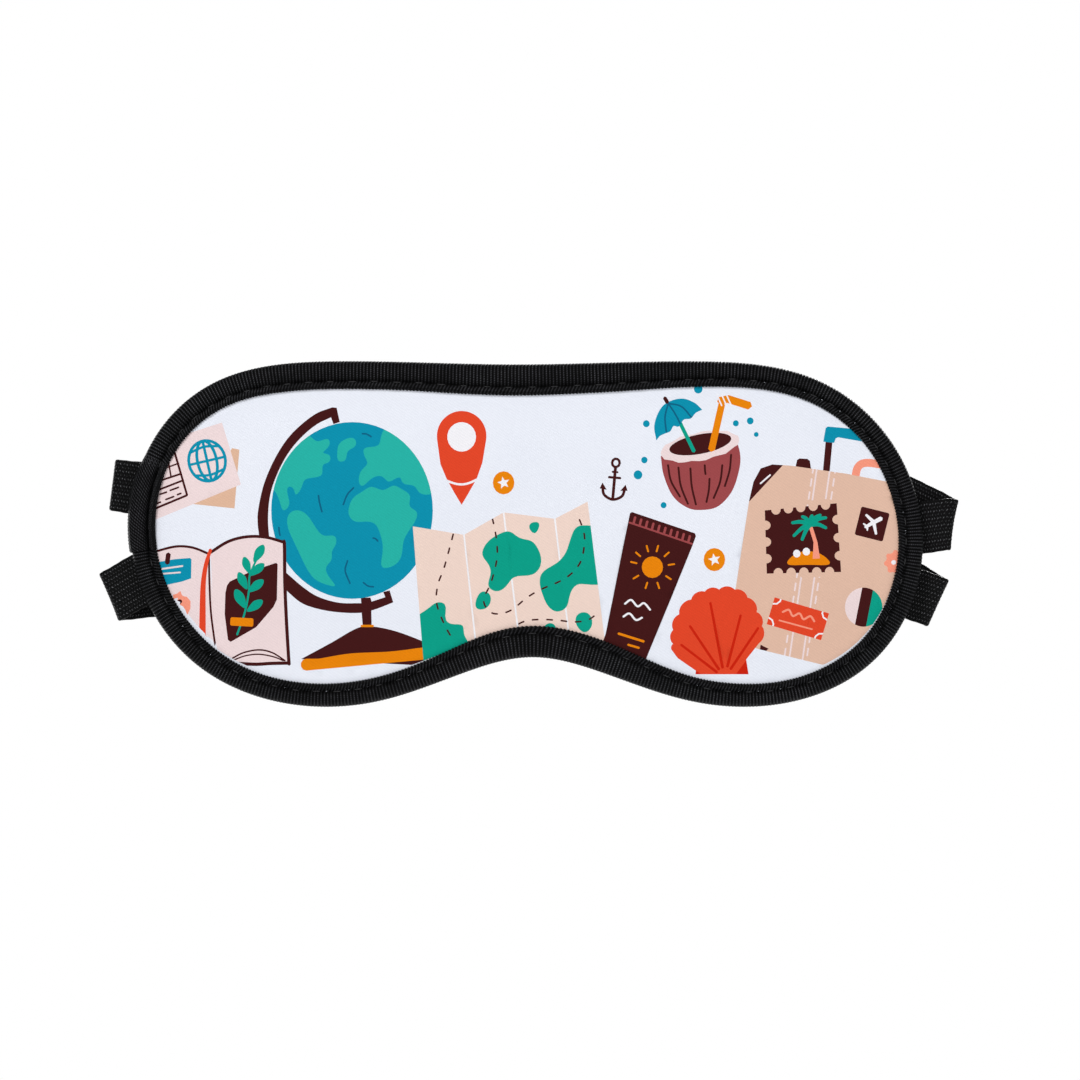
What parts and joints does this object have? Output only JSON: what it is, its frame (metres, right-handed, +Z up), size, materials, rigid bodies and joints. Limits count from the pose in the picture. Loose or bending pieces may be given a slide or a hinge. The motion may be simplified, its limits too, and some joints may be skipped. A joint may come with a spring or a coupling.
{
  "type": "sleep mask",
  "caption": "Padded fabric sleep mask with a nose arch, a bound edge, a travel-print face and two elastic head straps whose loops show at both sides.",
  "frame": {"origin": "middle of the lining's flat back, where the wearer's face meets the mask", "axes": "+X along the mask to the viewer's right, +Z up across the forehead edge, +Y from the mask to the wearer's head; the printed face looks along -Y"},
  "size_m": [0.2157, 0.0149, 0.0866],
  "materials": {
    "face_print": "matte satin-weave polyester with a printed travel pattern",
    "lining": "matte brushed knit",
    "foam": "matte open-cell foam",
    "binding_tape": "ribbed grosgrain, slight sheen",
    "thread": "twisted polyester thread",
    "elastic": "woven elastic, matte with fine glints"
  },
  "bodies": {
    "root": {"back_lining": "lining", "foam_core": "foam", "face_fabric": "face_print", "edge_binding": "binding_tape", "binding_needle_thread": "thread", "binding_bobbin_thread": "thread", "upper_strap_left_tab": "elastic", "upper_strap_right_tab": "elastic", "lower_strap_left_tab": "elastic", "lower_strap_right_tab": "elastic", "upper_strap_left_bar_tack": "thread", "upper_strap_right_bar_tack": "thread", "lower_strap_left_bar_tack": "thread", "lower_strap_right_bar_tack": "thread"},
    "upper_band": {"upper_strap_band": "elastic"},
    "lower_band": {"lower_strap_band": "elastic"}
  },
  "joints": [
    {"name": "upper_strap_pull", "type": "slide", "parent": "root", "child": "upper_band", "axis": [0, 0.9397, 0.342], "range_m": [0, 0.15], "stiffness_N_per_m": 30},
    {"name": "lower_strap_pull", "type": "slide", "parent": "root", "child": "lower_band", "axis": [0, 0.9659, -0.2588], "range_m": [0, 0.15], "stiffness_N_per_m": 30}
  ]
}
